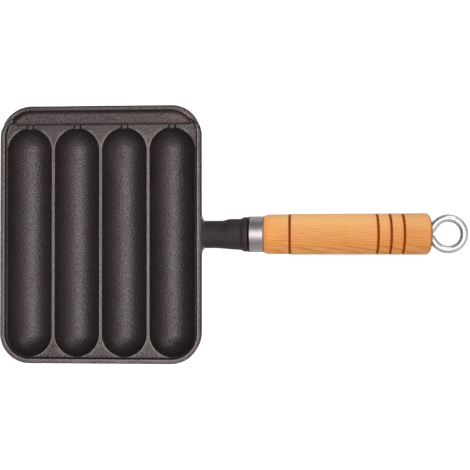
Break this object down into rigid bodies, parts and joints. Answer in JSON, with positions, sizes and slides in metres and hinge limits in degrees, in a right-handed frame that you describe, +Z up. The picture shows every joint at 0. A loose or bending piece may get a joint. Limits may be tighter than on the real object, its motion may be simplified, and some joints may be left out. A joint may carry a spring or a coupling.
{
  "type": "sausage pan",
  "caption": "Cast iron sausage pan with parallel half-round troughs, a raised rim and a fat gutter, and a turned wooden handle held by a screw rod that ends in a hanging eye.",
  "frame": {"origin": "on the surface that the pan stands on, under the middle of the whole pan's box", "axes": "+X along the pan from the troughs to the hanging eye, +Y across to the fat gutter, +Z up"},
  "size_m": [0.3314, 0.184, 0.0357],
  "materials": {
    "pan_iron": "black oiled casting with a fine sand grain",
    "ferrule_metal": "satin, turned",
    "grip_wood": "clear lacquer with burnt grooves",
    "eye_wire": "bright polished"
  },
  "bodies": {
    "pan": {"pan_casting": "pan_iron"},
    "handle": {"handle_ferrule": "ferrule_metal", "wooden_grip": "grip_wood"},
    "eye": {"hanging_eye_rod": "eye_wire"}
  },
  "joints": [
    {"name": "handle_back_off", "type": "slide", "parent": "pan", "child": "handle", "axis": [0.9986, 0, 0.0523], "range_m": [0, 0.008]},
    {"name": "eye_turn", "type": "hinge", "parent": "handle", "child": "eye", "pos_m": [-0.02012, 0, 0.01285], "axis": [0.9986, 0, 0.0523], "range_deg": [0, 3600]}
  ],
  "couplings": [
    {"joint": "eye_turn", "follows": "handle_back_off", "rad_per_m": 7853.9}
  ]
}
